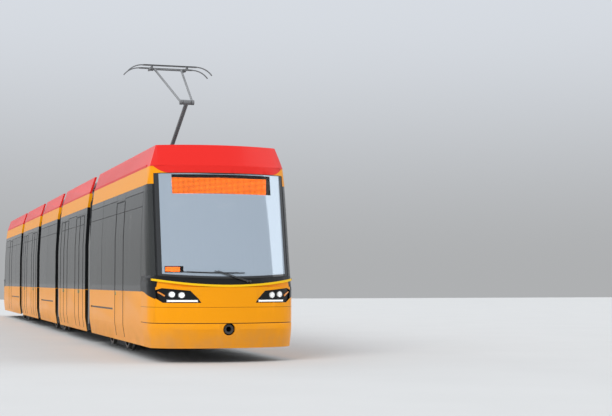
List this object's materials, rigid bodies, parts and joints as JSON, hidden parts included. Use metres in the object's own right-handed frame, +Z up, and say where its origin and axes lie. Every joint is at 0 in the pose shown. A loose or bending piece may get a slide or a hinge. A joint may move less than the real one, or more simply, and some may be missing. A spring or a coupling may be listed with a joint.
{
  "type": "five-section articulated low-floor tram",
  "caption": "Articulated low-floor city tram: hinged sections with pleated gangways, bogies with spinning wheelsets, hollow saloon, driver's cab and raised single-arm pantograph.",
  "frame": {"origin": "middle of the underside of the wheel flanges, halfway along the tram", "axes": "+X towards the driver's cab, +Y to the tram's left, +Z up"},
  "size_m": [30.1158, 2.366, 5.3608],
  "materials": {
    "yellow_paint": "gloss two-pack paint, warm yellow",
    "red_paint": "gloss two-pack paint, bright red",
    "dark_glass": "tinted safety glass, bonded",
    "floor_grey": "anti-slip flooring over a grey underframe",
    "door_yellow": "gloss paint, warm yellow",
    "seat_shell": "moulded seats, satin, with yellow grab poles",
    "roof_unit": "satin grey paint",
    "bellows_rubber": "coated fabric folds",
    "bogie_steel": "dark grey paint, dusty",
    "wheel_steel": "machined tread, dull wheel centre",
    "lamp_lens": "clear lens over a white lamp",
    "tail_lens": "red lens",
    "cab_plastic": "dark grey moulded trim",
    "arm_steel": "grey paint on steel tube",
    "collector_carbon": "carbon strips in an aluminium carrier"
  },
  "bodies": {
    "section_a": {"walls_a": "yellow_paint", "roof_a": "red_paint", "floor_a": "floor_grey", "glazing_a": "dark_glass", "seats_a": "seat_shell", "roof_gear_a": "roof_unit", "doors_a": "door_yellow", "end_shell_a": "yellow_paint", "lamps_a": "lamp_lens", "underframe_a": "floor_grey", "cab_a": "cab_plastic", "pantograph_base": "arm_steel"},
    "section_b": {"walls_b": "yellow_paint", "roof_b": "red_paint", "floor_b": "floor_grey", "glazing_b": "dark_glass", "seats_b": "seat_shell", "roof_gear_b": "roof_unit", "doors_b": "door_yellow", "bellows_ab": "bellows_rubber"},
    "section_c": {"walls_c": "yellow_paint", "roof_c": "red_paint", "floor_c": "floor_grey", "glazing_c": "dark_glass", "seats_c": "seat_shell", "roof_gear_c": "roof_unit", "underframe_c": "floor_grey", "bellows_bc": "bellows_rubber", "bellows_cd": "bellows_rubber"},
    "section_d": {"walls_d": "yellow_paint", "roof_d": "red_paint", "floor_d": "floor_grey", "glazing_d": "dark_glass", "seats_d": "seat_shell", "roof_gear_d": "roof_unit", "doors_d": "door_yellow", "bellows_de": "bellows_rubber"},
    "section_e": {"walls_e": "yellow_paint", "roof_e": "red_paint", "floor_e": "floor_grey", "glazing_e": "dark_glass", "seats_e": "seat_shell", "roof_gear_e": "roof_unit", "doors_e": "door_yellow", "end_shell_e": "yellow_paint", "lamps_e": "tail_lens", "underframe_e": "floor_grey"},
    "bogie_a": {"bogie_a": "bogie_steel"},
    "wheelset_a_front": {"wheelset_a_front": "wheel_steel"},
    "wheelset_a_rear": {"wheelset_a_rear": "wheel_steel"},
    "bogie_c": {"bogie_c": "bogie_steel"},
    "wheelset_c_front": {"wheelset_c_front": "wheel_steel"},
    "wheelset_c_rear": {"wheelset_c_rear": "wheel_steel"},
    "bogie_e": {"bogie_e": "bogie_steel"},
    "wheelset_e_front": {"wheelset_e_front": "wheel_steel"},
    "wheelset_e_rear": {"wheelset_e_rear": "wheel_steel"},
    "pantograph_lower": {"pantograph_lower": "arm_steel"},
    "pantograph_upper": {"pantograph_upper": "arm_steel"},
    "pantograph_head": {"pantograph_head": "collector_carbon"}
  },
  "joints": [
    {"name": "hinge_bc", "type": "hinge", "parent": "section_c", "child": "section_b", "pos_m": [2.25, 0, 0.3], "axis": [0, 0, 1], "range_deg": [-20, 20], "deforming": ["bellows_bc"]},
    {"name": "hinge_ab", "type": "hinge", "parent": "section_b", "child": "section_a", "pos_m": [7.65, 0, 0.3], "axis": [0, 0, 1], "range_deg": [-20, 20], "deforming": ["bellows_ab"]},
    {"name": "hinge_cd", "type": "hinge", "parent": "section_c", "child": "section_d", "pos_m": [-2.25, 0, 0.3], "axis": [0, 0, 1], "range_deg": [-20, 20], "deforming": ["bellows_cd"]},
    {"name": "hinge_de", "type": "hinge", "parent": "section_d", "child": "section_e", "pos_m": [-7.65, 0, 0.3], "axis": [0, 0, 1], "range_deg": [-20, 20], "deforming": ["bellows_de"]},
    {"name": "bogie_a_yaw", "type": "hinge", "parent": "section_a", "child": "bogie_a", "pos_m": [9.6, 0, 0.36], "axis": [0, 0, 1], "range_deg": [-4, 4]},
    {"name": "wheelset_a_front_spin", "type": "hinge", "parent": "bogie_a", "child": "wheelset_a_front", "pos_m": [10.5, 0, 0.325], "axis": [0, 1, 0], "continuous": true},
    {"name": "wheelset_a_rear_spin", "type": "hinge", "parent": "bogie_a", "child": "wheelset_a_rear", "pos_m": [8.7, 0, 0.325], "axis": [0, 1, 0], "continuous": true},
    {"name": "bogie_c_yaw", "type": "hinge", "parent": "section_c", "child": "bogie_c", "pos_m": [0, 0, 0.36], "axis": [0, 0, 1], "range_deg": [-4, 4]},
    {"name": "wheelset_c_front_spin", "type": "hinge", "parent": "bogie_c", "child": "wheelset_c_front", "pos_m": [0.9, 0, 0.325], "axis": [0, 1, 0], "continuous": true},
    {"name": "wheelset_c_rear_spin", "type": "hinge", "parent": "bogie_c", "child": "wheelset_c_rear", "pos_m": [-0.9, 0, 0.325], "axis": [0, 1, 0], "continuous": true},
    {"name": "bogie_e_yaw", "type": "hinge", "parent": "section_e", "child": "bogie_e", "pos_m": [-9.6, 0, 0.36], "axis": [0, 0, 1], "range_deg": [-4, 4]},
    {"name": "wheelset_e_front_spin", "type": "hinge", "parent": "bogie_e", "child": "wheelset_e_front", "pos_m": [-8.7, 0, 0.325], "axis": [0, 1, 0], "continuous": true},
    {"name": "wheelset_e_rear_spin", "type": "hinge", "parent": "bogie_e", "child": "wheelset_e_rear", "pos_m": [-10.5, 0, 0.325], "axis": [0, 1, 0], "continuous": true},
    {"name": "pantograph_raise", "type": "hinge", "parent": "section_a", "child": "pantograph_lower", "pos_m": [10.15, 0, 3.64], "axis": [0, -1, 0], "range_deg": [-21, 18]},
    {"name": "pantograph_knee", "type": "hinge", "parent": "pantograph_lower", "child": "pantograph_upper", "pos_m": [11.81277, 0, 4.45099], "axis": [0, -1, 0], "range_deg": [-36, 42]},
    {"name": "pantograph_tilt", "type": "hinge", "parent": "pantograph_upper", "child": "pantograph_head", "pos_m": [10.06012, 0, 5.30581], "axis": [0, -1, 0], "range_deg": [-21, 18]}
  ],
  "couplings": [
    {"joint": "pantograph_knee", "follows": "pantograph_raise", "ratio": -2},
    {"joint": "pantograph_tilt", "follows": "pantograph_raise", "ratio": 1}
  ]
}
